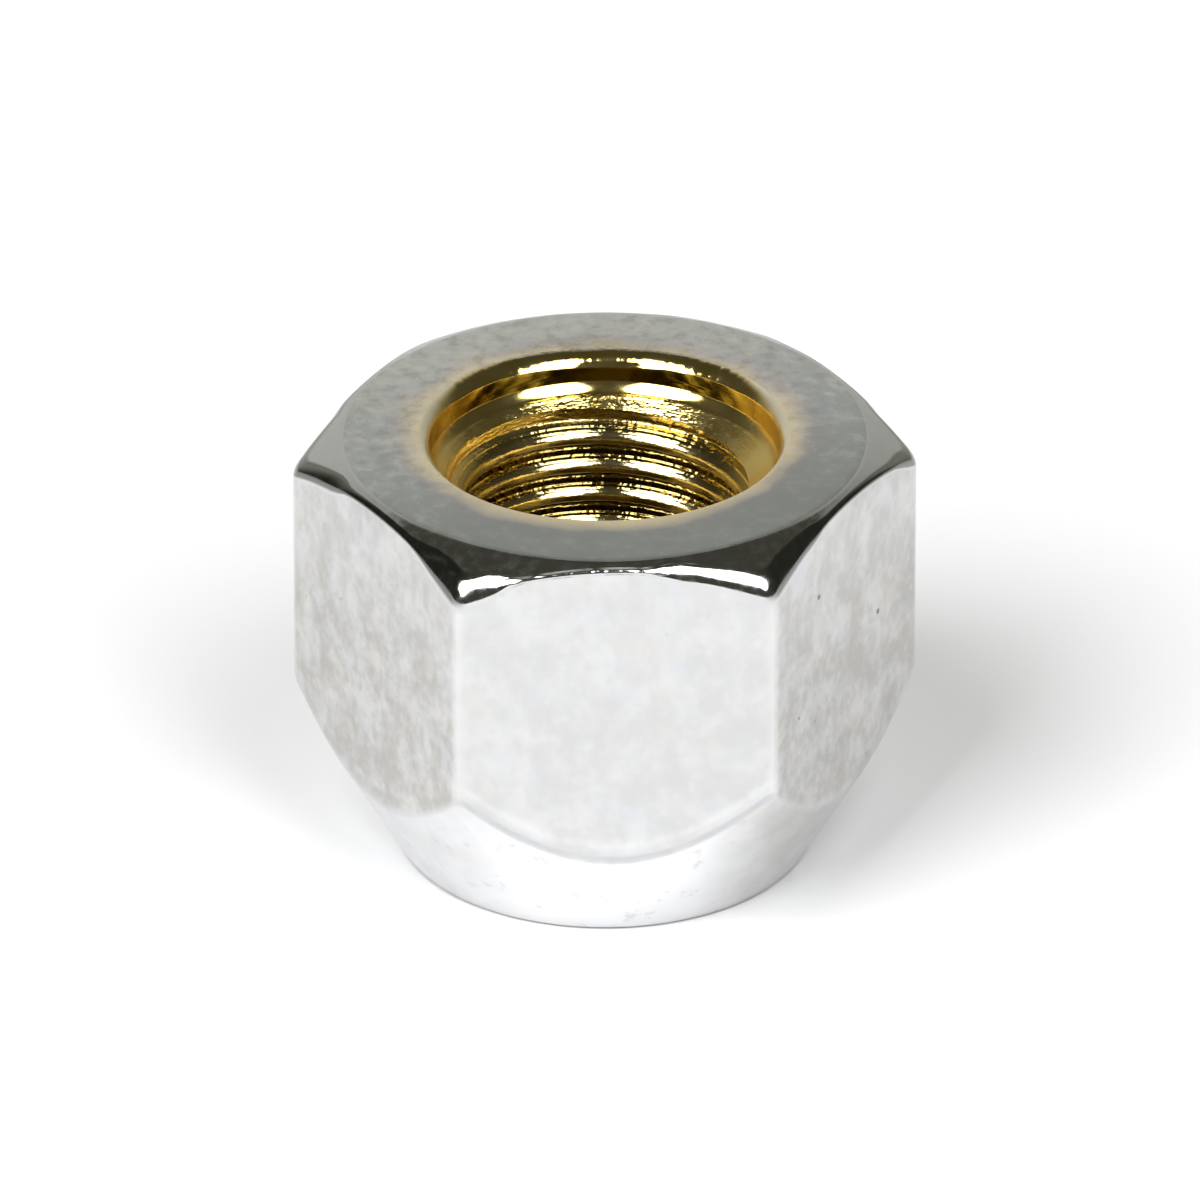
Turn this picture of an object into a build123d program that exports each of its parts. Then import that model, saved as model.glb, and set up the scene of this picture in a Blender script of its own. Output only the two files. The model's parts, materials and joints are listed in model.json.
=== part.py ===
"""Open-end lug nut: a hexagonal wheel nut with a conical seat at its lower end,
a chamfered wrench end, and a through hole that opens in a smooth counterbore.

The nut stands on its seat end. The origin is the centre of that end face, +Z runs up the
thread axis to the open end, and one wrench flat faces -Y. Lengths are in millimetres and
angles in degrees.
"""

import os
from math import radians, tan

from build123d import *

# Body
ACROSS_FLATS = 21.0           # wrench size
HEIGHT = 17.3                 # seat end face to open end face
CORNER_RADIUS = 0.75          # rounding of the six upright edges

# Conical seat at the lower end
SEAT_ANGLE = 60.0             # included angle of the cone
SEAT_END_DIAMETER = 16.0      # where the cone meets the seat end face
SEAT_SHOULDER_RADIUS = 1.0    # blend between the wrench flats and the cone
SEAT_END_CHAMFER = 0.2        # small 45 degree chamfer on the cone's small end

# Open end
LAND_DIAMETER = 20.0          # outer edge of the flat ring around the hole
CHAMFER_SLOPE = 30.0          # fall of the chamfer across the corners, from horizontal

# Counterbore
COUNTERBORE_DIAMETER = 13.6
COUNTERBORE_DEPTH = 1.38      # open end face to the foot of the counterbore's wall
RIM_RADIUS = 0.2              # rounding of the hole's rim
LEDGE_SLOPE = 38.0            # fall of the ledge towards the thread, from horizontal
LEDGE_CORNER_RADIUS = 1.0     # hollow corner between the wall and the ledge

# Thread M12 x 1.25, held here as the plain hole through its crests
THREAD_DIAMETER = 12.0
THREAD_PITCH = 1.25
THREAD_DEPTH_PER_PITCH = 0.54127  # depth of an internal 60 degree thread, as a share of pitch
LEDGE_LEAD_IN = 0.22              # width and height of the small chamfer below the ledge
SEAT_LEAD_IN_DIAMETER = 12.4      # mouth of the 45 degree chamfer at the seat end

LARGEST_BLEND = 1.4  # the shoulder blend is at most this many corner radii


def profile(*points):
    """Flat face beside the Z axis through (radius, z) points."""
    return make_face(Polyline(*[(radius, 0, z) for radius, z in points], close=True))


def turned(face):
    """Solid of revolution of a face about the Z axis."""
    return revolve(face, axis=Axis.Z)


def crest_radius():
    """Radius of the hole through the thread's crests."""
    return THREAD_DIAMETER / 2 - THREAD_DEPTH_PER_PITCH * THREAD_PITCH


def hexagon_bar():
    """Hexagon stock with rounded upright edges and a flat facing -Y."""
    bar = extrude(RegularPolygon(ACROSS_FLATS / 2, 6, major_radius=False), HEIGHT)
    return fillet(bar.edges().filter_by(Axis.Z), CORNER_RADIUS)


def seat_cutter():
    """Everything outside the seat cone."""
    end_radius = SEAT_END_DIAMETER / 2
    reach = ACROSS_FLATS
    top = (reach - end_radius) / tan(radians(SEAT_ANGLE / 2))
    below = -HEIGHT / 2
    return turned(profile((end_radius, 0), (reach, top), (reach, below), (end_radius, below)))


def chamfer_cutter():
    """Everything above the chamfer across the corners of the open end."""
    land_radius = LAND_DIAMETER / 2
    reach = ACROSS_FLATS
    foot = HEIGHT - (reach - land_radius) * tan(radians(CHAMFER_SLOPE))
    above = 1.5 * HEIGHT
    return turned(profile((land_radius, HEIGHT), (reach, foot), (reach, above), (land_radius, above)))


def hole_cutter():
    """Counterbore, ledge, thread hole and the lead-in at the seat end, in one turned shape."""
    wall = COUNTERBORE_DIAMETER / 2
    crest = crest_radius()
    ledge_inner = crest + LEDGE_LEAD_IN
    ledge_top = HEIGHT - COUNTERBORE_DEPTH
    ledge_foot = ledge_top - (wall - ledge_inner) * tan(radians(LEDGE_SLOPE))
    mouth = SEAT_LEAD_IN_DIAMETER / 2
    above = 1.5 * HEIGHT
    section = profile(
        (0, above), (wall, above), (wall, ledge_top), (ledge_inner, ledge_foot),
        (crest, ledge_foot - LEDGE_LEAD_IN), (crest, mouth - crest), (mouth, 0), (0, 0),
    )
    corner = section.vertices().sort_by_distance((wall, 0, ledge_top))[0]
    return turned(fillet(corner, LEDGE_CORNER_RADIUS))


def shoulder_edges(shape):
    """The scalloped edges between the wrench flats and the seat cone."""
    low, high = 0.1, HEIGHT / 2
    return [edge for edge in shape.edges()
            if edge.geom_type != GeomType.LINE and low < edge.center().Z < high]


def ring(shape, diameter, height):
    """The circular edge of one diameter at one height."""
    near = 1e-3
    return [edge for edge in shape.edges().filter_by(GeomType.CIRCLE)
            if abs(edge.radius - diameter / 2) < near and abs(edge.arc_center.Z - height) < near]


def lug_nut():
    nut = hexagon_bar() - seat_cutter() - chamfer_cutter()
    blend = min(SEAT_SHOULDER_RADIUS, LARGEST_BLEND * CORNER_RADIUS)
    nut = fillet(shoulder_edges(nut), blend)
    nut = chamfer(ring(nut, SEAT_END_DIAMETER, 0), SEAT_END_CHAMFER)
    nut = nut - hole_cutter()
    nut = fillet(ring(nut, COUNTERBORE_DIAMETER, HEIGHT), RIM_RADIUS)
    return nut.solid()


os.makedirs("parts", exist_ok=True)
export_step(lug_nut(), "parts/lug_nut.step")
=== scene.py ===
"""Looks of the open-end lug nut: its plated surfaces, its real thread, studio light and camera.

One mesh replaces the plain solid. It is built column by column around the Z axis: every
column is the nut's outline in one half-plane, from the seat end up the outside, over the
open end and down the hole. Lengths are in millimetres until the mesh is made.
"""

import json
from math import atan2, cos, hypot, pi, radians, sin, tan

import bmesh
import bpy
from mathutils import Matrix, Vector, noise


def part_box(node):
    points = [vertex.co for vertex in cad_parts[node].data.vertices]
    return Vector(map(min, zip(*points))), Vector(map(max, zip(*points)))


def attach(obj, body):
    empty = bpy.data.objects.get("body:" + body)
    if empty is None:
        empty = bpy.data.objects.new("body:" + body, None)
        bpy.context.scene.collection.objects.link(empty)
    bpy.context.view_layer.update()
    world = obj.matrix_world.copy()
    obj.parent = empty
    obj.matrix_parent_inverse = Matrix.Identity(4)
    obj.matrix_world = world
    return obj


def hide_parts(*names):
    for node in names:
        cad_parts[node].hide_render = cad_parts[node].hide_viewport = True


MM = 0.001

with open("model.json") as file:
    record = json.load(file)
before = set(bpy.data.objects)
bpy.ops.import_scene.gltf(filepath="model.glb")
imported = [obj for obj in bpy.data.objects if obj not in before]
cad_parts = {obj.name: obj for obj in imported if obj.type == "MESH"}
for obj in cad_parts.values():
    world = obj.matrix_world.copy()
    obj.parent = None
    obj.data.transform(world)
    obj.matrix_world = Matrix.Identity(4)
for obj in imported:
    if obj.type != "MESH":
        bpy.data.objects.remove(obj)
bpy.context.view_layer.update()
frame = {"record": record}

# ---------------------------------------------------------------- sizes, from the frame
LOW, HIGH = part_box("lug_nut")
HEIGHT = (HIGH[2] - LOW[2]) / MM
HALF_FLATS = (HIGH[1] - LOW[1]) / MM / 2   # from the axis to a wrench flat
REACH = (HIGH[0] - LOW[0]) / MM / 2        # from the axis to an upright corner
MOUNTS = {mount["name"]: mount for mount in frame["record"]["mounts"]}
CREST_RADIUS = MOUNTS["stud_thread"]["dims"]["r_mm"]

# ---------------------------------------------------------------- sizes, as in the part
SEAT_HALF_ANGLE = radians(30)
SEAT_END_RADIUS = 8.0
SEAT_END_ROUNDING = 0.2
SHOULDER_RADIUS = 1.0   # of the roll between the seat cone and the flats
LAND_RADIUS = 10.0      # of the flat ring at the open end
SEAT_LEAD_IN_RADIUS = 6.2
THREAD_RADIUS = 6.0
PITCH = 1.25
# Of the upright corners, from how much they fall short of sharp ones
CORNER_RADIUS = (HALF_FLATS / cos(pi / 6) - REACH) / (1 / cos(pi / 6) - 1)

# ---------------------------------------------------------------- chamfer round the open end
# It is slightly domed: its slope grows outward from the ring. It rolls over into the ring.
CHAMFER_START_SLOPE = tan(radians(24))
CHAMFER_CURVE = 0.0725
LAND_EDGE_RADIUS = 1.0
# Its lower edge is rolled over, except along one crisp stretch of each flat.
CRISP_RADIUS = 0.32
ROLLED_RADIUS = 0.93
CRISP_FADE = 1.7          # length over which the edge goes from crisp to rolled
CORNER_FADE = (3.2, 2.4)  # how far from a flat's middle the corner's own radius sets in, and how slowly
ROLL_MARGIN = 0.23        # width that the roll leaves free outside the ring
ROLL_FIT = 1.6            # largest radius for each mm of width that is left for the roll
# At each upright corner, counterclockwise from the one right of the front flat: the rolled radius
CORNER_ROLLED_RADII = [1.45, 0.85, 0.8, 0.8, 0.85, 1.6]
# On each flat, counterclockwise from the front one: the crisp stretch, as its middle and half its
# length along the flat
CRISP_STRETCHES = [(-1.3, 2.1), (1.2, 2.6), (-0.4, 1.8), (0.9, 2.4), (-1.1, 2.7), (0.5, 2.0)]
# In the same order: how dull the plating is, how nicked the crisp stretch is, and how dark the
# line of painted shade is where the chamfer meets the flat
FLAT_DULLNESS = [0.1, 0.95, 0.45, 0.2, 0.6, 0.95]
FLAT_NICKS = [1.0, 0.04, 0.1, 0.1, 0.1, 0.04]
FLAT_EDGE_SHADE = [0.0, 0.9, 0.4, 0.3, 0.4, 1.0]

# ---------------------------------------------------------------- mouth of the hole
# The lip is crisp in front and widely rolled over at the back. At each azimuth in degrees:
# corner of the roll (radius, depth), its rounding, top of the wall (radius, depth).
LIP = [
    (-90, 6.82, 0.010, 0.08, 6.79, 0.20),
    (-30, 6.95, 0.012, 0.12, 6.80, 0.28),
    (8, 6.99, 0.030, 0.55, 6.78, 0.30),
    (45, 7.03, 0.070, 1.05, 6.72, 0.46),
    (90, 6.86, 0.190, 0.86, 6.66, 0.62),
    (135, 7.03, 0.070, 1.05, 6.72, 0.46),
    (172, 7.01, 0.030, 0.55, 6.78, 0.30),
    (208, 7.02, 0.012, 0.12, 6.80, 0.28),
    (270, 6.82, 0.010, 0.08, 6.79, 0.20),
]
LIP_WAVE = 0.03         # how far the foot of the lip wanders up and down
LIP_WAVE_RATE = 9       # how quickly it does so round the hole
DISH_RADIUS = 8.2       # where the ring starts to fall towards the lip
DISH_ROUNDING = 1.5
WALL_ROUNDING = 0.04    # at both ends of the counterbore's wall
# Ledge under the wall, as radius and depth: where it leaves the wall, the corner of its curve and
# the rounding there, and a point beyond its inner edge
LEDGE_START = (6.755, 1.26)
LEDGE_CURVE = (6.633, 1.481, 1.30)
LEDGE_END = (5.20, 2.641)

# ---------------------------------------------------------------- thread
THREAD_PHASE = 0.18             # share of a turn, sets where the thread runs out on the ledge
THREAD_GAP = 0.02               # from the roots out to where the ledge's last row lies
CREST_ROUNDING = (0.06, 0.46)   # under and over each crest
ROOT_ROUNDING = (0.05, 0.17)    # top and bottom of each root
CREST_HALF = 0.06               # from a crest's middle down to the edge under it
ROOT_FLAT = 0.145               # height of the root between its two flanks, before rounding
FLANK_STEP = (0.02, 0.035)      # tool's step on each lower flank: half its depth, half its height
FLANK_STEP_PLACE = 0.4          # where it lies on the flank, as a share from root to crest
FLANK_STEP_ROUNDING = 0.03
SPARE_TURNS = 4                 # more than fit in the hole, so that every column is covered
SNAP = 0.003                    # rows this near the thread's ends are laid on them

# ---------------------------------------------------------------- columns and rows of the mesh
FLAT_COLUMNS = 22
CORNER_COLUMNS = 12
# Rows up the outside: across the seat end, round its edge, up the cone, over the shoulder, in a
# narrow band above it, up the flat, over the chamfer's lower edge, up the chamfer, over its top
SEAT_ROWS, SEAT_EDGE_ROWS, CONE_ROWS, SHOULDER_ROWS = 3, 4, 8, 10
BAND_ROWS, UPRIGHT_ROWS, EDGE_ROWS, CHAMFER_ROWS, LAND_EDGE_ROWS = 5, 12, 8, 10, 3
BAND_HEIGHT = 1.1
# Rows from there on: across the ring, where it starts to fall, over the lip, round each end of
# the wall, along the ledge's curve, and from there to the thread
LAND_ROWS, DISH_ROWS, LIP_ROWS, WALL_ROWS, LEDGE_ROWS, LAST_ROWS = 8, 4, 10, 3, 10, 2
# First rows of the shoulder, of the chamfer's lower edge and of the chamfer
SHOULDER_ROW = SEAT_ROWS + SEAT_EDGE_ROWS + CONE_ROWS
EDGE_ROW = SHOULDER_ROW + SHOULDER_ROWS + BAND_ROWS + UPRIGHT_ROWS
CHAMFER_ROW = EDGE_ROW + EDGE_ROWS
# The satin ring starts one row into the roll at its edge, the golden hole two rows into the lip.
SATIN_ROW = CHAMFER_ROW + CHAMFER_ROWS + 1
GOLDEN_ROW = SATIN_ROW + LAND_EDGE_ROWS + LAND_ROWS + DISH_ROWS + 2
MERGE_DISTANCE = 2e-8           # metres
CREASE_ANGLE = radians(40)      # edges are shaded sharp from this angle on
# From the shoulder's first row up: grey on the roll, and above it a pale line that is a painted
# highlight
SHOULDER_TONE = [0, 0.1, 0.3, 0.6, 0.9, 1, 1, 1, 1, 0.9, 0.5, -0.4, -1, -0.5, 0]


# ---------------------------------------------------------------- outlines
def clamp(share):
    return min(max(share, 0), 1)


def smooth(share):
    share = clamp(share)
    return share * share * (3 - 2 * share)


def between(low, high, share):
    return low + (high - low) * share


def unit(start, end):
    length = hypot(end[0] - start[0], end[1] - start[1])
    return ((end[0] - start[0]) / length, (end[1] - start[1]) / length)


def line(start, end, steps):
    """Points after start, up to and including end."""
    return [(start[0] + (end[0] - start[0]) * k / steps, start[1] + (end[1] - start[1]) * k / steps)
            for k in range(1, steps + 1)]


def arc_between(start_dir, end_dir, corner, radius, steps):
    """Points of a fillet at a corner of a line path. Directions are unit vectors of travel."""
    turn = atan2(start_dir[0] * end_dir[1] - start_dir[1] * end_dir[0],
                 start_dir[0] * end_dir[0] + start_dir[1] * end_dir[1])
    side = 1 if turn > 0 else -1
    reach = radius * tan(abs(turn) / 2)
    begin = (corner[0] - start_dir[0] * reach, corner[1] - start_dir[1] * reach)
    centre = (begin[0] - side * start_dir[1] * radius, begin[1] + side * start_dir[0] * radius)
    points = []
    for step in range(steps + 1):
        angle = turn * step / steps
        away = (begin[0] - centre[0], begin[1] - centre[1])
        points.append((centre[0] + away[0] * cos(angle) - away[1] * sin(angle),
                       centre[1] + away[0] * sin(angle) + away[1] * cos(angle)))
    return points


def rounded(corners):
    """A path through corners (radius, height, rounding, steps), with each inner one as a fillet."""
    points = []
    for before, corner, after in zip(corners, corners[1:], corners[2:]):
        start, end = unit(before, corner), unit(corner, after)
        points += arc_between(start, end, corner[:2], *corner[2:])
    return points


def edge_radius(side, along, radius):
    """Radius of the chamfer's lower edge at one place along a flat, and how crisp it is."""
    middle, half = CRISP_STRETCHES[side]
    rolled = smooth((abs(along - middle) - half) / CRISP_FADE)
    at_corner = CORNER_ROLLED_RADII[side if along > 0 else side - 1]
    cornered = smooth((abs(along) - CORNER_FADE[0]) / CORNER_FADE[1])
    widest = between(ROLLED_RADIUS, at_corner, cornered)
    room = (radius - LAND_RADIUS - ROLL_MARGIN) * ROLL_FIT
    return between(CRISP_RADIUS, min(widest, room), rolled), 1 - rolled


def hexagon_columns():
    """Each column round the rounded hexagon: azimuth, radius, edge radius and its marks."""
    columns = []
    corner_centre = (HALF_FLATS - CORNER_RADIUS) / cos(pi / 6)
    half_flat = HALF_FLATS * tan(pi / 6) - CORNER_RADIUS * tan(pi / 6)
    for side in range(6):
        middle = -pi / 2 + side * pi / 3
        for step in range(FLAT_COLUMNS):
            along = -half_flat + 2 * half_flat * step / FLAT_COLUMNS
            azimuth, radius = middle + atan2(along, HALF_FLATS), hypot(along, HALF_FLATS)
            edge, crisp = edge_radius(side, along, radius)
            columns.append((azimuth, radius, edge, {
                "corner": 0.0, "dull": FLAT_DULLNESS[side], "flat_dull": FLAT_DULLNESS[side],
                "nicks": crisp ** 2 * FLAT_NICKS[side], "edge_grime": FLAT_EDGE_SHADE[side]}))
        corner, following = middle + pi / 6, (side + 1) % 6
        for step in range(CORNER_COLUMNS):
            share = step / CORNER_COLUMNS
            normal = middle + pi / 3 * step / CORNER_COLUMNS
            x = corner_centre * cos(corner) + CORNER_RADIUS * cos(normal)
            y = corner_centre * sin(corner) + CORNER_RADIUS * sin(normal)
            azimuth = middle + (atan2(y, x) - middle) % (2 * pi)
            dull = between(FLAT_DULLNESS[side], FLAT_DULLNESS[following], share)
            grime = between(FLAT_EDGE_SHADE[side], FLAT_EDGE_SHADE[following], share)
            columns.append((azimuth, hypot(x, y), CORNER_ROLLED_RADII[side], {
                "corner": 1 - abs(2 * share - 1), "dull": dull, "flat_dull": dull,
                "nicks": 0.0, "edge_grime": grime}))
    return columns


def chamfer_drop(radius):
    """Depth of the domed chamfer below the open end face."""
    out = max(radius - LAND_RADIUS, 0)
    return CHAMFER_START_SLOPE * out + CHAMFER_CURVE * out * out


def chamfer_direction(radius):
    """Direction of travel inward and up along the chamfer."""
    slope = CHAMFER_START_SLOPE + 2 * CHAMFER_CURVE * max(radius - LAND_RADIUS, 0)
    return unit((0, 0), (-1, slope))


def outside(hexagon_radius, edge):
    """Outline of one column from the seat end's inner edge to the flat ring."""
    up = (0, 1)
    cone = (sin(SEAT_HALF_ANGLE), cos(SEAT_HALF_ANGLE))
    points = [(SEAT_LEAD_IN_RADIUS, 0)]
    seat_arc = arc_between((1, 0), cone, (SEAT_END_RADIUS, 0), SEAT_END_ROUNDING, SEAT_EDGE_ROWS)
    points += line(points[-1], seat_arc[0], SEAT_ROWS) + seat_arc[1:]
    shoulder = (hexagon_radius, (hexagon_radius - SEAT_END_RADIUS) / tan(SEAT_HALF_ANGLE))
    shoulder_arc = arc_between(cone, up, shoulder, SHOULDER_RADIUS, SHOULDER_ROWS)
    points += line(points[-1], shoulder_arc[0], CONE_ROWS) + shoulder_arc[1:]
    points += line(points[-1], (hexagon_radius, points[-1][1] + BAND_HEIGHT), BAND_ROWS)
    top = (hexagon_radius, HEIGHT - chamfer_drop(hexagon_radius))
    top_arc = arc_between(up, chamfer_direction(hexagon_radius), top, edge, EDGE_ROWS)
    points += line(points[-1], top_arc[0], UPRIGHT_ROWS) + top_arc[1:]
    inward = chamfer_direction(LAND_RADIUS)
    land_arc = arc_between(inward, (-1, 0), (LAND_RADIUS, HEIGHT), LAND_EDGE_RADIUS, LAND_EDGE_ROWS)
    start, stop = points[-1][0], land_arc[0][0]
    for k in range(1, CHAMFER_ROWS):
        radius = start + (stop - start) * k / CHAMFER_ROWS
        points.append((radius, HEIGHT - chamfer_drop(radius)))
    return points + land_arc


def lip_at(azimuth):
    """The lip's sizes at one azimuth, eased between the listed ones."""
    degrees = (azimuth * 180 / pi + 90) % 360 - 90
    for before, after in zip(LIP, LIP[1:]):
        if degrees <= after[0]:
            share = smooth((degrees - before[0]) / (after[0] - before[0]))
            return [between(low, high, share) for low, high in zip(before[1:], after[1:])]
    return LIP[-1][1:]


def mouth(azimuth):
    """Outline from the flat ring over the mouth's lip and down the ledge, as far as the thread."""
    lip, lip_depth, rounding, wall, wall_depth = lip_at(azimuth)
    wave = LIP_WAVE * noise.noise(Vector((cos(azimuth), sin(azimuth), 0)) * LIP_WAVE_RATE)
    corners = [   # radius, depth, rounding, rows
        (LAND_RADIUS - LAND_EDGE_RADIUS, 0, 0, 0),
        (DISH_RADIUS, 0, DISH_ROUNDING, DISH_ROWS),
        (lip, lip_depth, rounding, LIP_ROWS),
        (wall, wall_depth + wave, WALL_ROUNDING, WALL_ROWS),
        (*LEDGE_START, WALL_ROUNDING, WALL_ROWS),
        (*LEDGE_CURVE, LEDGE_ROWS),
        (*LEDGE_END, 0, 0),
    ]
    path = [(radius, HEIGHT - depth, *rest) for radius, depth, *rest in corners]
    points = rounded(path)
    land = line(path[0][:2], points[0], LAND_ROWS)
    return land + points[1:] + line(points[-1], ledge_end(), LAST_ROWS)


def ledge_height(radius):
    (outer, start, _), (inner, end) = LEDGE_CURVE, LEDGE_END
    return HEIGHT - start - (outer - radius) * (end - start) / (outer - inner)


def ledge_radius(height):
    (outer, start, _), (inner, end) = LEDGE_CURVE, LEDGE_END
    return outer - (HEIGHT - height - start) * (outer - inner) / (end - start)


def ledge_end():
    """Where every column's thread rows start, on the ledge just outside the thread's roots."""
    radius = THREAD_RADIUS + THREAD_GAP
    return radius, ledge_height(radius)


def thread_turn():
    """One turn of the thread, from the middle of a crest down to the next: (radius, height)."""
    flank = (THREAD_RADIUS - CREST_RADIUS) * tan(pi / 6)
    root_top = -CREST_HALF - flank
    root_foot = root_top - ROOT_FLAT
    step_radius = (1 - FLANK_STEP_PLACE) * THREAD_RADIUS + FLANK_STEP_PLACE * CREST_RADIUS
    step_height = root_foot - FLANK_STEP_PLACE * flank
    depth, height = FLANK_STEP
    return rounded([   # radius, height, rounding, rows
        (CREST_RADIUS, 0, 0, 0),
        (CREST_RADIUS, -CREST_HALF, CREST_ROUNDING[0], 2),
        (THREAD_RADIUS, root_top, ROOT_ROUNDING[0], 2),
        (THREAD_RADIUS, root_foot, ROOT_ROUNDING[1], 5),
        (step_radius + depth, step_height + height, FLANK_STEP_ROUNDING, 2),
        (step_radius - depth, step_height - height, FLANK_STEP_ROUNDING, 2),
        (CREST_RADIUS, root_foot - flank, CREST_ROUNDING[1], 6),
        (CREST_RADIUS, -PITCH - CREST_HALF, 0, 0),
    ])


THREAD_TURN = thread_turn()


def thread_column(azimuth):
    """Outline of the hole in one column, from the ledge down to the seat end."""
    top = ledge_end()
    end = (SEAT_LEAD_IN_RADIUS, 0)
    rise = PITCH * (azimuth / (2 * pi) + THREAD_PHASE)
    points = []
    for turn in range(int(HEIGHT / PITCH) + SPARE_TURNS):
        for radius, below in THREAD_TURN:
            z = HEIGHT + PITCH * (1 - turn) + below + rise
            radius = max(radius, ledge_radius(z), SEAT_LEAD_IN_RADIUS - z)
            points.append(top if z >= top[1] - SNAP else end if z <= SNAP else (radius, z))
    return points


# ---------------------------------------------------------------- mesh
PLATED, SATIN, GOLDEN = range(3)
# Marks are values stored at every point for the materials. Some change only from row to row. The
# others change from column to column, within the kind of row that they are paired with here.
ROW_MARKS = ("shoulder", "cone", "grime", "polish", "chamfer")
COLUMN_MARKS = {"corner": "upright", "dull": "upright", "flat_dull": "all", "nicks": "rolled",
                "edge_grime": "edge"}


def row_marks(row):
    """What one row shows: its share of each kind of surface."""
    above = row - SHOULDER_ROW
    return {
        "shoulder": SHOULDER_TONE[above] if 0 <= above < len(SHOULDER_TONE) else 0.0,
        "cone": clamp((7 - above) / 6),
        # Painted contact shadow on the seat end's edge
        "grime": 1.0 if SEAT_ROWS <= row < SEAT_ROWS + SEAT_EDGE_ROWS else 0.0,
        "upright": clamp((above - 1) / SHOULDER_ROWS) if row <= EDGE_ROW else 0.0,
        "all": 1.0,
        "edge": 1.0 if EDGE_ROW + 1 < row <= CHAMFER_ROW + 1 else 0.0,
        "rolled": smooth(min(row - EDGE_ROW, CHAMFER_ROW - row) / 3),
        "polish": 1.0 if EDGE_ROW < row <= SATIN_ROW else 0.0,
        "chamfer": 1.0 if CHAMFER_ROW < row <= SATIN_ROW else 0.0,
    }


def build_nut():
    """The whole nut as one closed mesh, with its zones as material slots."""
    columns = hexagon_columns()
    shells = [outside(radius, edge) + mouth(azimuth) for azimuth, radius, edge, _ in columns]
    outlines = [shell + thread_column(column[0]) for shell, column in zip(shells, columns)]
    shell_rows, rows = len(shells[0]), len(outlines[0])
    vertices = [(radius * cos(azimuth) * MM, radius * sin(azimuth) * MM, z * MM)
                for (azimuth, *_), outline in zip(columns, outlines) for radius, z in outline]
    along = [row_marks(row) for row in range(rows)]
    marks = {name: [kinds[name] for _ in columns for kinds in along] for name in ROW_MARKS}
    for name, limit in COLUMN_MARKS.items():
        marks[name] = [column[3][name] * kinds[limit] for column in columns for kinds in along]

    def next_row(row, closing):
        """Where the row goes on in the next column: the helix is one turn on where it closes."""
        if not closing or row < shell_rows:
            return row
        return max(row - len(THREAD_TURN), shell_rows)

    faces, zones = [], []
    for column in range(len(columns)):
        following = (column + 1) % len(columns)
        for row in range(rows - 1):
            low, high = next_row(row, following == 0), next_row(row + 1, following == 0)
            faces.append((column * rows + row, following * rows + low,
                          following * rows + high, column * rows + row + 1))
            zones.append(PLATED if row < SATIN_ROW else SATIN if row < GOLDEN_ROW else GOLDEN)
    mesh = bpy.data.meshes.new("nut_body")
    mesh.from_pydata(vertices, [], faces)
    mesh.polygons.foreach_set("material_index", zones)
    for name, values in marks.items():
        mesh.attributes.new(name, "FLOAT", "POINT").data.foreach_set("value", values)
    nut = bpy.data.objects.new("nut_body", mesh)
    bpy.context.scene.collection.objects.link(nut)
    return nut


def clean(nut):
    """Merge the rows gathered at the ends of the thread, shade smoothly and keep sharp creases."""
    work = bmesh.new()
    work.from_mesh(nut.data)
    bmesh.ops.remove_doubles(work, verts=work.verts, dist=MERGE_DISTANCE)
    bmesh.ops.dissolve_degenerate(work, edges=work.edges, dist=MERGE_DISTANCE)
    bmesh.ops.recalc_face_normals(work, faces=work.faces)
    for face in work.faces:
        face.smooth = True
    for edge in work.edges:
        edge.smooth = edge.calc_face_angle(0) < CREASE_ANGLE
    work.to_mesh(nut.data)
    work.free()
    weighted = nut.modifiers.new("weighted_normal", "WEIGHTED_NORMAL")
    weighted.keep_sharp = True


# ---------------------------------------------------------------- colours, linear
# Outside
ZINC, BRIGHT_ZINC = (0.66, 0.66, 0.66), (0.735, 0.735, 0.74)
# Dull zinc of the flats; its darkening low down is painted shade
DULL_SHADED_ZINC = (0.44, 0.43, 0.41)
WARM_ZINC, COOL_ZINC = (0.70, 0.67, 0.61), (0.64, 0.66, 0.70)
# Painted highlight along the upright corners
PAINTED_CORNER_HIGHLIGHT = (0.86, 0.86, 0.87)
# Painted reflections on the cone: pale in front, shaded on the right
PAINTED_CONE_REFLECTION, PAINTED_CONE_SHADE = (0.82, 0.82, 0.83), (0.50, 0.50, 0.48)
SMUDGE = (0.50, 0.50, 0.51)
# Grey of the shoulder's roll, and the pale painted highlight above it
SHOULDER_GREY, SHOULDER_PAINTED_HIGHLIGHT = (0.46, 0.47, 0.48), (0.86, 0.86, 0.86)
# Painted contact shadow along the seat end's edge, where the nut meets the floor
PAINTED_CONTACT_SHADOW = (0.10, 0.10, 0.09)
POLISHED_ZINC = (0.52, 0.53, 0.52)
CHAMFER_GREY = (0.585, 0.605, 0.62)
# Painted shade along the chamfer's lower edge, where its roll reflects the dark room
PAINTED_EDGE_SHADE = (0.13, 0.13, 0.12)
PIT = (0.16, 0.14, 0.12)
# Flat ring
RING_DARK, RING_PALE = (0.41, 0.44, 0.475), (0.56, 0.585, 0.62)
RING_WARM, RING_COOL = (0.66, 0.64, 0.57), (0.57, 0.60, 0.62)
RAINBOW_PINK, RAINBOW_BLUE, RAINBOW_GREEN = (0.62, 0.56, 0.58), (0.50, 0.56, 0.57), (0.53, 0.56, 0.55)
# Painted shade on the ring's front and painted light on its back
PAINTED_RING_SHADE, PAINTED_RING_LIGHT = (0.30, 0.315, 0.31), (0.80, 0.79, 0.76)
RIM_PINK, RIM_YELLOW = (0.66, 0.56, 0.54), (0.85, 0.72, 0.49)
PALE_SCUFF, DARK_SCUFF = (0.80, 0.80, 0.78), (0.38, 0.38, 0.355)
SPECK = (0.30, 0.30, 0.27)
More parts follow.
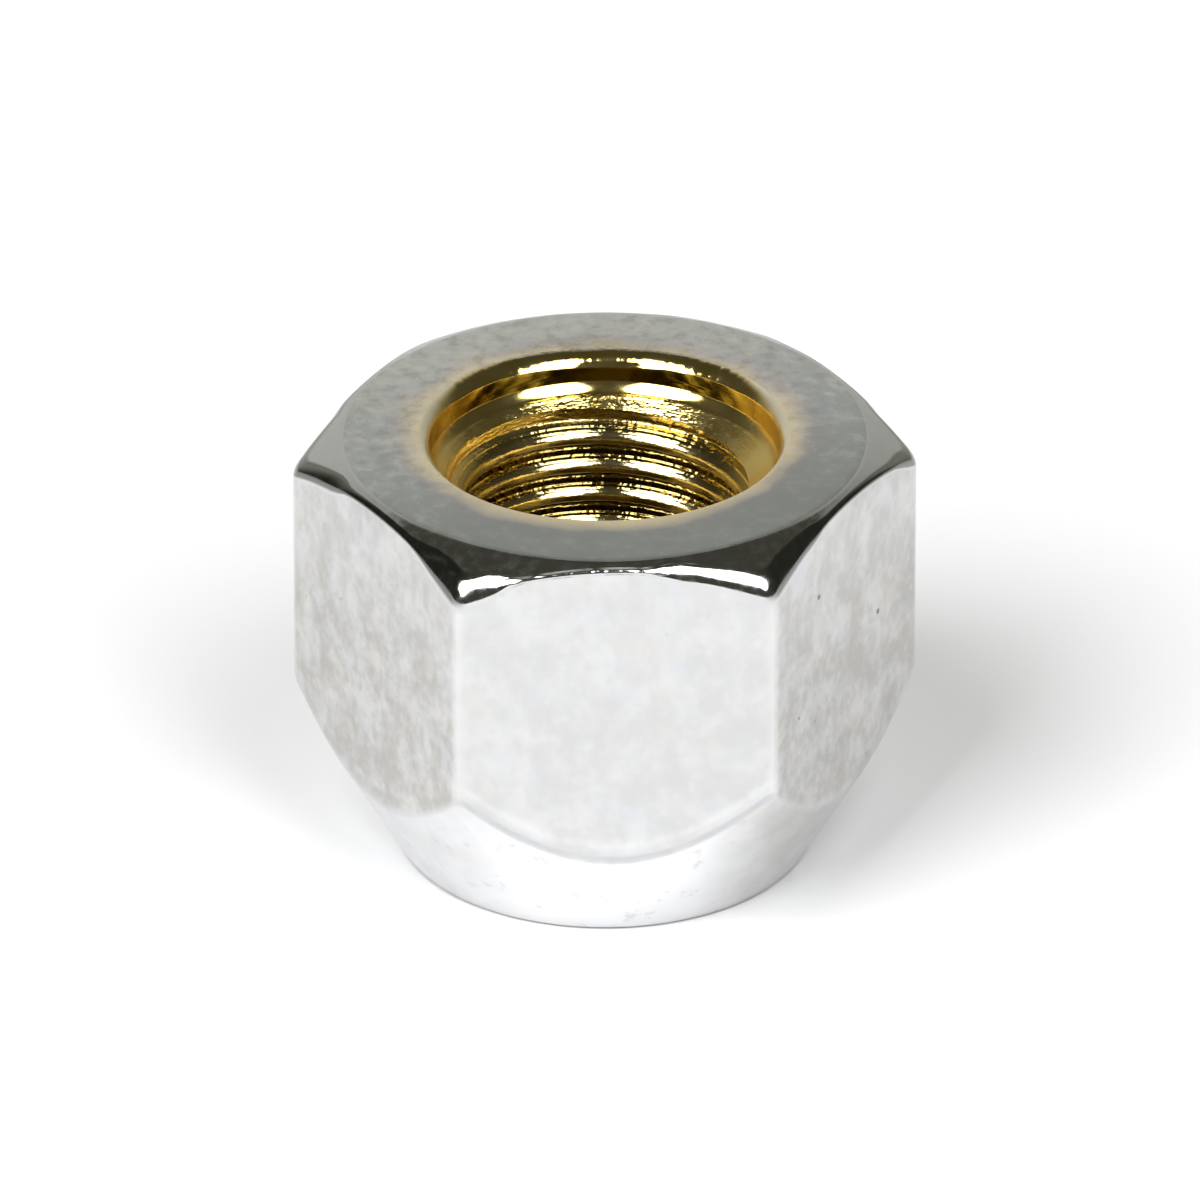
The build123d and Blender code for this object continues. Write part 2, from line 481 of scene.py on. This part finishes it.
# Hole
GOLD, PALE_GOLD = (0.83, 0.62, 0.20), (0.85, 0.67, 0.27)
LIP_GOLD = (0.84, 0.77, 0.62)
# Painted shade in the thread: darker than the mouth, browner at the front and sides, darkest in the
# roots
SHADED_THREAD_BROWN, THREAD_GOLD = (0.32, 0.25, 0.09), (0.68, 0.55, 0.28)
SHADED_ROOT_BROWN = (0.36, 0.275, 0.09)
# Painted shade on the counterbore's wall, in uneven patches
SHADED_WALL_BROWN, SHADED_WALL_GOLD = (0.42, 0.30, 0.06), (0.58, 0.44, 0.10)
# Studio
PAPER = (0.895, 0.9, 0.915)
WHITE, DIM_YELLOW = (1.0, 1.0, 1.0), (1.0, 0.98, 0.76)


# ---------------------------------------------------------------- materials
class Nodes:
    """A short way to build a node tree. Inputs may be numbers, colours or other sockets."""

    def __init__(self, tree):
        self.tree = tree

    def add(self, kind, inputs=None, **settings):
        node = self.tree.nodes.new(kind)
        for name, value in settings.items():
            setattr(node, name, value)
        for name, value in (inputs or {}).items():
            self.feed(node.inputs[name], value)
        return node

    def feed(self, socket, value):
        if isinstance(value, bpy.types.NodeSocket):
            self.tree.links.new(value, socket)
        else:
            socket.default_value = value

    def math(self, operation, *values, clamp=False):
        inputs = dict(enumerate(values))
        return self.add("ShaderNodeMath", inputs, operation=operation, use_clamp=clamp).outputs[0]

    def times(self, *values):
        """Product of two or more values."""
        product = values[0]
        for value in values[1:]:
            product = self.math("MULTIPLY", product, value)
        return product

    def scaled(self, value, factor, plus):
        """value * factor + plus"""
        return self.math("MULTIPLY_ADD", value, factor, plus)

    def vector(self, operation, *values):
        return self.add("ShaderNodeVectorMath", dict(enumerate(values)), operation=operation).outputs[0]

    def split(self, place):
        return self.add("ShaderNodeSeparateXYZ", {0: place}).outputs

    def joined(self, x, y, z=0.0):
        return self.add("ShaderNodeCombineXYZ", {"X": x, "Y": y, "Z": z}).outputs[0]

    def stretch(self, place, x, y, z):
        return self.vector("MULTIPLY", place, (x, y, z))

    def noise(self, place, scale, detail=3.0, roughness=0.55, shift=None):
        """Soft pattern around 0.5. A shift of the place gives another pattern of the same kind."""
        if shift:
            place = self.vector("ADD", place, shift)
        inputs = {"Vector": place, "Scale": scale, "Detail": detail, "Roughness": roughness}
        return self.add("ShaderNodeTexNoise", inputs).outputs["Fac"]

    def spots(self, place, scale, low, high):
        """1 inside small round cells, 0 elsewhere."""
        inputs = {"Vector": place, "Scale": scale}
        cells = self.add("ShaderNodeTexVoronoi", inputs).outputs["Distance"]
        return self.ease(cells, high, low)

    def ease(self, value, low, high, start=0.0, end=1.0):
        """Smooth step of value from start at low to end at high."""
        inputs = {"Value": value, "From Min": low, "From Max": high, "To Min": start, "To Max": end}
        return self.add("ShaderNodeMapRange", inputs, interpolation_type="SMOOTHSTEP").outputs[0]

    def mix(self, share, first, second):
        node = self.add("ShaderNodeMix", data_type="RGBA")
        for index, value in ((0, share), (6, first), (7, second)):
            self.feed(node.inputs[index], (*value, 1) if isinstance(value, tuple) else value)
        return node.outputs[2]

    def coats(self, colour, *coats):
        """Lay colours over one another: each coat is its share and its colour."""
        for share, over in coats:
            colour = self.mix(share, colour, over)
        return colour

    def bump(self, height, distance, normal=None):
        """Surface direction over hills: height 0 to 1 stands for the distance in mm."""
        inputs = {"Height": height, "Distance": distance * MM, "Strength": 1.0}
        if normal:
            inputs["Normal"] = normal
        return self.add("ShaderNodeBump", inputs).outputs[0]


def metal(name):
    """An empty metal material: its shader, its nodes, and the place on the surface in mm."""
    material = bpy.data.materials.new(name)
    material.use_nodes = True
    shader = material.node_tree.nodes["Principled BSDF"]
    shader.inputs["Metallic"].default_value = 1
    nodes = Nodes(material.node_tree)
    place = nodes.add("ShaderNodeTexCoord").outputs["Object"]
    return material, shader, nodes, nodes.stretch(place, 1 / MM, 1 / MM, 1 / MM)


def polar(nodes, place):
    """Radius from the axis, height, and the direction away from the axis."""
    split = nodes.split(place)
    flat = nodes.joined(split["X"], split["Y"])
    radius = nodes.add("ShaderNodeVectorMath", {0: flat}, operation="LENGTH").outputs["Value"]
    return radius, split["Z"], nodes.split(nodes.vector("NORMALIZE", flat))


def plated():
    """Bright zinc on the flats, cone and chamfer: clouded, lightly streaked, with a few pits."""
    material, shader, nodes, place = metal("plated")

    def mark(name):
        return nodes.add("ShaderNodeAttribute", attribute_name=name).outputs["Fac"]

    split = nodes.split(place)
    side = nodes.math("ABSOLUTE", split["X"])
    cone, polish, chamfer, flat_dull = map(mark, ("cone", "polish", "chamfer", "flat_dull"))
    clouds = nodes.noise(place, 0.55, 4)
    fine = nodes.noise(place, 2.6, 3)
    streaks = nodes.noise(nodes.stretch(place, 1.6, 1.6, 0.7), 1.0, 4)
    tone = nodes.scaled(streaks, 0.2, nodes.scaled(clouds, 0.5, nodes.times(fine, 0.3)))
    tint = nodes.noise(place, 0.8, 2, shift=(31, 7, 3))

    # Flats are duller in cloudy patches, by a share listed for each flat, and more so low down, where
    # the darkening is painted shade.
    dull_and_shade = nodes.times(mark("dull"), nodes.ease(tone, 0.36, 0.64, 1.1, 0.45))
    dull_and_shade = nodes.math("MULTIPLY", dull_and_shade, nodes.ease(split["Z"], 10.0, 15.5, 1.05, 0.72), clamp=True)
    # The cone is painted paler in front, a painted reflection of the lit floor, and darker on the right
    # in mottled patches, a painted reflection of the floor's shadow.
    bright = nodes.times(cone, nodes.ease(side, 2.0, 7.0, 0.7, 0.0))
    cone_shade = nodes.times(nodes.ease(split["X"], 3.0, 7.0, 0.0, 0.8),
                         nodes.ease(tone, 0.36, 0.62, 1.0, 0.5))
    smudges = nodes.ease(nodes.noise(place, 1.3, 4, 0.65, shift=(7, 2, 9)), 0.57, 0.70)
    # The lines along the shoulder, a grey one and a pale painted highlight, are faint under the dull
    # flats.
    shoulder = nodes.times(mark("shoulder"), nodes.ease(tone, 0.36, 0.6, 0.4, 1.0))
    shoulder = nodes.times(shoulder, nodes.scaled(flat_dull, -0.7, 1.0))
    # The chamfer is polished in front, and as dull as the ring at the sides and the back.
    aside = nodes.math("MAXIMUM", nodes.ease(side, 6.8, 9.2), nodes.ease(split["Y"], 0.0, 4.0))
    pits = nodes.spots(nodes.vector("ADD", place, (2.3, 0.4, 1.9)), 0.42, 0.035, 0.06)
    nodes.feed(shader.inputs["Base Color"], nodes.coats(
        nodes.mix(nodes.ease(tone, 0.38, 0.62), ZINC, BRIGHT_ZINC),
        (dull_and_shade, DULL_SHADED_ZINC),
        # Painted highlight along the upright corners
        (nodes.times(mark("corner"), 0.5), PAINTED_CORNER_HIGHLIGHT),
        (nodes.ease(tint, 0.55, 0.75, 0, 0.4), WARM_ZINC),
        (nodes.ease(tint, 0.45, 0.28, 0, 0.4), COOL_ZINC),
        (bright, PAINTED_CONE_REFLECTION),
        (nodes.times(cone, cone_shade), PAINTED_CONE_SHADE),
        (nodes.times(cone, smudges, 0.5), SMUDGE),
        (nodes.ease(shoulder, 0, 1, 0, 0.65), SHOULDER_GREY),
        (nodes.ease(shoulder, 0, -1, 0, 0.45), SHOULDER_PAINTED_HIGHLIGHT),
        # Painted contact shadow on the seat end's edge
        (nodes.times(mark("grime"), 0.8), PAINTED_CONTACT_SHADOW),
        (nodes.times(polish, 0.30), POLISHED_ZINC),
        (nodes.times(chamfer, nodes.ease(aside, 0, 1, 0.2, 0.8)), CHAMFER_GREY),
        # Painted shade along the chamfer's lower edge
        (nodes.times(mark("edge_grime"), 0.85), PAINTED_EDGE_SHADE),
        (nodes.times(pits, flat_dull), PIT)))

    rough = nodes.scaled(polish, -0.08, nodes.ease(fine, 0.3, 0.7, 0.15, 0.27))
    rough = nodes.scaled(chamfer, nodes.ease(aside, 0, 1, 0, 0.24), rough)
    nodes.feed(shader.inputs["Roughness"], rough)

    hills = nodes.scaled(streaks, 0.6, nodes.times(fine, 0.4))
    hills = nodes.times(hills, nodes.scaled(polish, -0.8, 1.0))
    dents = nodes.times(nodes.noise(place, 1.5, 1), mark("nicks"))
    nodes.feed(shader.inputs["Normal"], nodes.bump(dents, 0.14, nodes.bump(hills, 0.012)))
    return material


def satin():
    """Duller plating on the flat ring, with faint rainbow rings, scuffs and dark specks."""
    material, shader, nodes, place = metal("satin")
    radius, _, around = polar(nodes, place)
    ring = nodes.scaled(nodes.noise(place, 0.45, 1.5), 1.3, radius)
    clouds = nodes.noise(place, 1.0, 3, 0.5)
    tint = nodes.noise(place, 0.5, 3, shift=(8, 2, 6))
    scuffs = nodes.noise(place, 1.7, 3, 0.6, shift=(3, 1, 4))
    specks = nodes.noise(place, 3.2, 4, 0.7, shift=(5, 9, 1))

    # Painted shade darkens the ring in front and a little to the right; painted light makes it paler at
    # the back.
    backward = nodes.scaled(around["X"], -0.25, around["Y"])
    painted_front_shade = nodes.ease(backward, 0.35, -0.9)
    scuffed = nodes.scaled(painted_front_shade, -0.8, 1.0)
    # A yellow rim of uneven width lies round the hole.
    rim = nodes.scaled(around["X"], 0.05, nodes.scaled(around["Y"], -0.1, ring))
    rim = nodes.math("MAXIMUM", nodes.ease(rim, 8.75, 7.5), nodes.ease(radius, 7.3, 6.95))
    nodes.feed(shader.inputs["Base Color"], nodes.coats(
        nodes.mix(nodes.ease(clouds, 0.38, 0.62), RING_DARK, RING_PALE),
        (nodes.ease(tint, 0.5, 0.68, 0, 0.5), RING_WARM),
        (nodes.ease(tint, 0.5, 0.34, 0, 0.5), RING_COOL),
        (nodes.ease(ring, 8.2, 8.6, 0, 0.3), RAINBOW_PINK),
        (nodes.ease(ring, 8.8, 9.3, 0, 0.45), RAINBOW_BLUE),
        (nodes.ease(ring, 9.6, 10.3, 0, 0.6), RAINBOW_GREEN),
        (nodes.times(painted_front_shade, 0.75), PAINTED_RING_SHADE),
        (nodes.ease(backward, 0.3, 0.9, 0, 0.45), PAINTED_RING_LIGHT),
        (nodes.ease(rim, 0.0, 0.25, 0, 0.3), RIM_PINK),
        (rim, RIM_YELLOW),
        (nodes.times(nodes.ease(scuffs, 0.48, 0.70, 0, 0.45), scuffed), PALE_SCUFF),
        (nodes.times(nodes.ease(scuffs, 0.50, 0.32, 0, 0.45), scuffed), DARK_SCUFF),
        (nodes.ease(specks, 0.36, 0.26, 0, 0.6), SPECK)))

    rough = nodes.ease(clouds, 0.3, 0.7, 0.34, 0.48)
    nodes.feed(shader.inputs["Roughness"], nodes.scaled(rim, -0.2, rough))
    nodes.feed(shader.inputs["Normal"], nodes.bump(nodes.noise(place, 5, 4, 0.65), 0.012))
    return material


def golden():
    """Yellow chromate in the hole: glossy, rough-turned on the ledge and along the thread."""
    material, shader, nodes, place = metal("golden")
    radius, height, around = polar(nodes, place)
    depth = nodes.math("SUBTRACT", HEIGHT, height)
    backward = around["Y"]
    clouds = nodes.noise(place, 0.8, 3)
    patches = nodes.noise(place, 0.7, 3, shift=(4, 4, 4))

    # The lip and the foot of its roll reach deeper at the back.
    lip_depth = nodes.scaled(nodes.ease(backward, 0.3, 0.85), 0.16, depth)
    wall_start = nodes.scaled(nodes.ease(backward, 0.6, 0.95), 0.25, 0.38)
    wall = nodes.ease(nodes.math("SUBTRACT", depth, wall_start), 0.0, 0.08)
    wall = nodes.times(wall, nodes.ease(depth, 1.30, 1.22))
    ledge = nodes.ease(depth, 1.62, 1.72)
    thread = nodes.ease(depth, 2.3, 2.8)
    root = nodes.ease(radius, CREST_RADIUS + 0.10, CREST_RADIUS + 0.35)
    crest = nodes.times(thread, nodes.ease(radius, CREST_RADIUS + 0.3, CREST_RADIUS + 0.18))
    turns = nodes.mix(nodes.ease(backward, 0.45, 0.85), SHADED_THREAD_BROWN, THREAD_GOLD)
    nodes.feed(shader.inputs["Base Color"], nodes.coats(
        nodes.mix(nodes.ease(clouds, 0.35, 0.65), GOLD, PALE_GOLD),
        (nodes.ease(lip_depth, 0.30, 0.10), LIP_GOLD),
        # Painted shade down the thread, browner away from the back, darkest in the roots
        (thread, turns),
        (nodes.times(root, thread), SHADED_ROOT_BROWN),
        # Painted shade on the counterbore's wall, in uneven patches
        (wall, nodes.mix(nodes.ease(patches, 0.4, 0.6), SHADED_WALL_BROWN, SHADED_WALL_GOLD))))

    # Turning marks, drawn out round the axis: chatter on the ledge, waves on the lip, and dots
    # between the crests. All are strongest at the back.
    drawn = nodes.stretch(nodes.joined(around["X"], backward, height), 11.0, 11.0, 7.0)
    chatter = nodes.noise(drawn, 1.0, 2.5, 0.6)
    turned = nodes.times(ledge, nodes.scaled(thread, -0.8, 1.0),
                         nodes.ease(backward, 0.15, 0.75, 0.04, 1.0))
    waves = nodes.noise(nodes.stretch(drawn, 2.0, 2.0, 0.15), 1.0, 0.5)
    lip = nodes.times(nodes.ease(depth, 1.05, 0.9), nodes.ease(radius, 6.7, 6.82),
                      nodes.ease(backward, 0.55, 0.8, 0.1, 1.0))
    dots = nodes.noise(nodes.stretch(drawn, 1.7, 1.7, 0.65), 1.0, 1.0)
    dotted = nodes.times(nodes.ease(backward, 0.2, 0.7, 0.1, 1.0),
                         thread, nodes.math("SUBTRACT", 1.0, crest))
    normal = nodes.bump(nodes.times(chatter, turned), 0.06)
    normal = nodes.bump(nodes.times(dots, dotted), 0.06, normal)
    nodes.feed(shader.inputs["Normal"], nodes.bump(nodes.times(waves, lip), 0.03, normal))

    # The back is glossy, the sides and the front are satin.
    rough = nodes.scaled(turned, 0.07, nodes.ease(clouds, 0.3, 0.7, 0.07, 0.13))
    rough = nodes.math("ADD", rough, nodes.ease(backward, 0.75, 0.3, 0, 0.24))
    nodes.feed(shader.inputs["Roughness"], rough)
    return material


# ---------------------------------------------------------------- studio
# Each elliptical lamp: azimuth and elevation in degrees, distance, width and height in metres,
# and radiance
SOFTBOXES = {
    "softbox_left": (-46, 45, 0.8, 0.52, 0.72, 5.4),
    "softbox_left_edge": (-67, 45, 0.8, 0.16, 0.50, 2.8),
    "softbox_right": (37, 45, 0.8, 0.52, 0.72, 4.1),
}
STUDIO_DIM = 0.062                     # how bright the dark studio is all round
FLOOR_SIZE = 3                         # metres
FOCAL_LENGTH, SENSOR_WIDTH = 583, 36
CLIP_START, CLIP_END = 0.05, 20        # metres
VIEW_DIRECTION = (-2.2, 28.86)         # azimuth and elevation in degrees
VIEW_DISTANCE = 0.7516                 # metres
AIM_ABOVE, AIM_LEFT = 1.226, 0.185     # from the nut's middle, as the camera sees it


def direction(azimuth, elevation):
    """Unit vector. Azimuth 0 is the side of the front flat, 90 is +X; angles in degrees."""
    a, e = radians(azimuth), radians(elevation)
    return Vector((sin(a) * cos(e), -cos(a) * cos(e), sin(e)))


def softbox(name, azimuth, elevation, distance, width, height, radiance):
    """Elliptical area light that faces the nut."""
    data = bpy.data.lights.new(name, "AREA")
    data.shape = "ELLIPSE"
    data.size, data.size_y = width, height
    data.energy = radiance * pi * width * height
    lamp = bpy.data.objects.new(name, data)
    bpy.context.scene.collection.objects.link(lamp)
    lamp.location = direction(azimuth, elevation) * distance
    lamp.rotation_euler = lamp.location.to_track_quat("Z", "Y").to_euler()


def floor():
    """White paper under the nut."""
    bpy.ops.mesh.primitive_plane_add(size=FLOOR_SIZE)
    plane = bpy.context.object
    plane.name = "floor"
    material = bpy.data.materials.new("paper")
    material.use_nodes = True
    shader = material.node_tree.nodes["Principled BSDF"]
    shader.inputs["Base Color"].default_value = (*PAPER, 1)
    shader.inputs["Roughness"].default_value = 1
    shader.inputs["Specular IOR Level"].default_value = 0
    plane.data.materials.append(material)


def surroundings():
    """Dark studio with a pale backdrop behind the nut. The camera itself sees it as white."""
    world = bpy.data.worlds.new("studio")
    bpy.context.scene.world = world
    world.use_nodes = True
    world.node_tree.nodes.clear()
    nodes = Nodes(world.node_tree)
    split = nodes.split(nodes.add("ShaderNodeTexCoord").outputs["Generated"])
    back = nodes.ease(split["Y"], 0.48, 0.78)
    low = nodes.ease(split["Z"], 0.72, 0.88, 1, 0)
    rise = nodes.ease(split["Z"], 0.4, 0.72, 0.55, 0.75)
    sideways = nodes.ease(split["X"], 0.05, 0.5, 1.0, 0.75)
    backdrop = nodes.times(back, low, rise, sideways)
    bright = nodes.math("ADD", backdrop, STUDIO_DIM)
    seen = nodes.add("ShaderNodeLightPath").outputs["Is Camera Ray"]
    strength = nodes.add("ShaderNodeMix", {0: seen, 2: bright, 3: 1.0}, data_type="FLOAT").outputs[0]
    colour = nodes.mix(nodes.math("MAXIMUM", seen, backdrop), DIM_YELLOW, WHITE)
    sky = nodes.add("ShaderNodeBackground", {"Color": colour, "Strength": strength})
    nodes.add("ShaderNodeOutputWorld", {"Surface": sky.outputs[0]})


def camera():
    """Long lens, a little under 30 degrees above the horizon, almost square to one flat."""
    data = bpy.data.cameras.new("camera")
    data.lens = FOCAL_LENGTH
    data.sensor_width = SENSOR_WIDTH
    data.clip_start, data.clip_end = CLIP_START, CLIP_END
    view = bpy.data.objects.new("camera", data)
    bpy.context.scene.collection.objects.link(view)
    away = direction(*VIEW_DIRECTION)
    right = Vector((-away.y, away.x, 0)).normalized()
    up = right.cross(-away)
    middle = Vector((0, 0, HEIGHT * MM / 2))
    aim = middle + up * AIM_ABOVE * MM - right * AIM_LEFT * MM
    view.location = aim + away * VIEW_DISTANCE
    view.rotation_euler = away.to_track_quat("Z", "Y").to_euler()
    bpy.context.scene.camera = view


# ---------------------------------------------------------------- the scene
nut = build_nut()
clean(nut)
for make in (plated, satin, golden):   # in the order of PLATED, SATIN, GOLDEN
    nut.data.materials.append(make())
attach(nut, "root")
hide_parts("lug_nut")

floor()
surroundings()
for name, placing in SOFTBOXES.items():
    softbox(name, *placing)
camera()
bpy.context.scene.view_settings.view_transform = "Standard"
